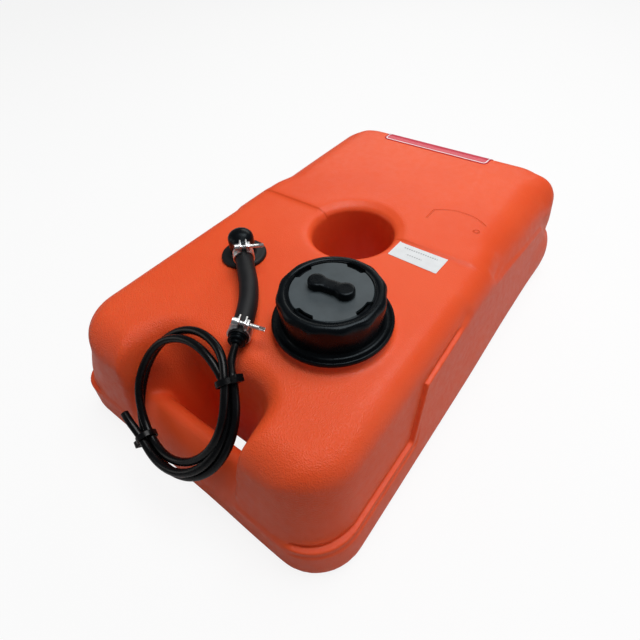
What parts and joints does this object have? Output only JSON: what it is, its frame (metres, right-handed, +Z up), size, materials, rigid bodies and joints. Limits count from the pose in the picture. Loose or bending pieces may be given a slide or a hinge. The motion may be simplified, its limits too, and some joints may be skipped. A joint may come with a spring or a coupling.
{
  "type": "outboard fuel tank",
  "caption": "Flat portable fuel tank with a vented screw cap, an outlet elbow with a clamped hose, a coiled fuel line and a built-in carrying bar.",
  "frame": {"origin": "centre of the tank's footprint, on the surface it stands on", "axes": "+Z up, -Y towards the carrying bar, +X towards the filler's side"},
  "size_m": [0.3042, 0.4993, 0.1661],
  "materials": {
    "tank_plastic": "satin orange-red polyethylene with a fine grain",
    "cap_plastic": "satin black moulded plastic",
    "insert_plastic": "matte blue-grey moulded plastic",
    "inner_plastic": "natural plastic",
    "seal_rubber": "black nitrile rubber",
    "grommet_rubber": "matte black rubber",
    "elbow_plastic": "black moulded plastic",
    "hose_rubber": "matte black rubber hose",
    "clamp_zinc": "bright zinc-plated steel",
    "line_rubber": "smooth black rubber line",
    "tie_nylon": "black nylon",
    "label_white": "bare white film",
    "band_crimson": "bare crimson film with a white keyline"
  },
  "bodies": {
    "tank": {"tank_shell": "tank_plastic", "outlet_grommet": "grommet_rubber", "outlet_elbow": "elbow_plastic", "pickup_tube": "inner_plastic", "pickup_strainer": "inner_plastic", "fuel_hose": "hose_rubber", "clamp_band_upper": "clamp_zinc", "clamp_band_lower": "clamp_zinc", "clamp_screw_upper": "clamp_zinc", "clamp_screw_lower": "clamp_zinc", "clamp_nut_upper": "clamp_zinc", "clamp_nut_lower": "clamp_zinc", "hose_reducer": "elbow_plastic", "fuel_line_lead": "line_rubber", "fuel_line_coil": "line_rubber", "fuel_line_tail": "line_rubber", "tie_upper": "tie_nylon", "tie_lower": "tie_nylon", "label_plate": "label_white", "rear_band": "band_crimson"},
    "gasket": {"cap_gasket": "seal_rubber"},
    "cap": {"filler_cap": "cap_plastic", "cap_insert": "insert_plastic"},
    "seal": {"vent_seal": "seal_rubber"},
    "vent": {"vent_knob": "insert_plastic", "vent_spindle": "inner_plastic"}
  },
  "joints": [
    {"name": "cap_lift", "type": "slide", "parent": "tank", "child": "gasket", "axis": [0, 0, 1], "range_m": [0, 0.02]},
    {"name": "cap_turn", "type": "hinge", "parent": "gasket", "child": "cap", "pos_m": [0.0603, -0.1016, 0.14], "axis": [0, 0, 1], "range_deg": [0, 900]},
    {"name": "vent_lift", "type": "slide", "parent": "cap", "child": "seal", "axis": [0, 0, 1], "range_m": [0, 0.0024]},
    {"name": "vent_turn", "type": "hinge", "parent": "seal", "child": "vent", "pos_m": [0.0603, -0.1016, 0.155], "axis": [0, 0, 1], "range_deg": [0, 720]}
  ],
  "couplings": [
    {"joint": "cap_turn", "follows": "cap_lift", "rad_per_m": 785.39},
    {"joint": "vent_turn", "follows": "vent_lift", "rad_per_m": 5235.9}
  ]
}
